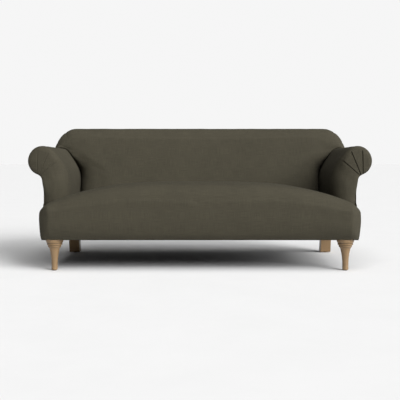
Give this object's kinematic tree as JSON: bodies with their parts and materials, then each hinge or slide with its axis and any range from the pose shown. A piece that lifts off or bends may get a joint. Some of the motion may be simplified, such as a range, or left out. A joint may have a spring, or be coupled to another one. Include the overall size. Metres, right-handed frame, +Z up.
{
  "type": "roll arm sofa",
  "caption": "Fixed sofa with rolled arms, a leaning tight back, a crowned tight seat that wraps the arm fronts, turned front legs and square swept back legs.",
  "frame": {"origin": "on the floor, under the middle of the sofa's bounding box", "axes": "+Z up, the front faces -Y, +X is the right as seen from the front"},
  "size_m": [2, 0.92, 0.828],
  "materials": {
    "upholstery": "matte, fine plain weave",
    "leg_wood": "clear satin lacquer on pale oak",
    "frame_wood": "planed, bare",
    "foam": "open-cell foam and wadding",
    "hessian": "open weave",
    "webbing": "woven jute",
    "board": "thin fibre board",
    "cambric": "thin black cloth",
    "spring_steel": "oiled wire",
    "fastener_steel": "zinc plated",
    "glide": "moulded"
  },
  "bodies": {
    "root": {"arm_board_left": "board", "arm_board_right": "board", "arm_foam_left": "foam", "arm_foam_right": "foam", "arm_hessian_left": "hessian", "arm_hessian_right": "hessian", "arm_post_left": "frame_wood", "arm_post_right": "frame_wood", "arm_scroll_board_left": "frame_wood", "arm_scroll_board_right": "frame_wood", "arm_stuffing_rail_left": "frame_wood", "arm_stuffing_rail_right": "frame_wood", "arm_top_rail_left": "frame_wood", "arm_top_rail_right": "frame_wood", "arm_webbing_left": "webbing", "arm_webbing_right": "webbing", "back_board": "board", "back_foam": "foam", "back_hessian": "hessian", "back_leg_left": "leg_wood", "back_leg_right": "leg_wood", "back_post_left": "frame_wood", "back_post_right": "frame_wood", "back_rail": "frame_wood", "back_top_rail": "frame_wood", "back_uprights": "frame_wood", "back_webbing": "webbing", "corner_block_screws": "fastener_steel", "corner_blocks": "frame_wood", "dust_cover": "cambric", "dust_cover_staples": "fastener_steel", "floor_glides": "glide", "frame_dowels": "frame_wood", "front_leg_left": "leg_wood", "front_leg_right": "leg_wood", "front_rail": "frame_wood", "inside_arm_cover_left": "upholstery", "inside_arm_cover_right": "upholstery", "inside_back_cover": "upholstery", "leg_bolts": "fastener_steel", "leg_tee_nuts": "fastener_steel", "lumbar_rail": "frame_wood", "outside_arm_cover_left": "upholstery", "outside_arm_cover_right": "upholstery", "outside_back_cover": "upholstery", "seat_border_pad": "foam", "seat_cover": "upholstery", "seat_foam": "foam", "seat_hessian": "hessian", "seat_stretchers": "frame_wood", "side_rail_left": "frame_wood", "side_rail_right": "frame_wood", "sinuous_springs": "spring_steel", "spring_clips": "spring_steel", "spring_tie_wires": "spring_steel"}
  },
  "joints": []
}
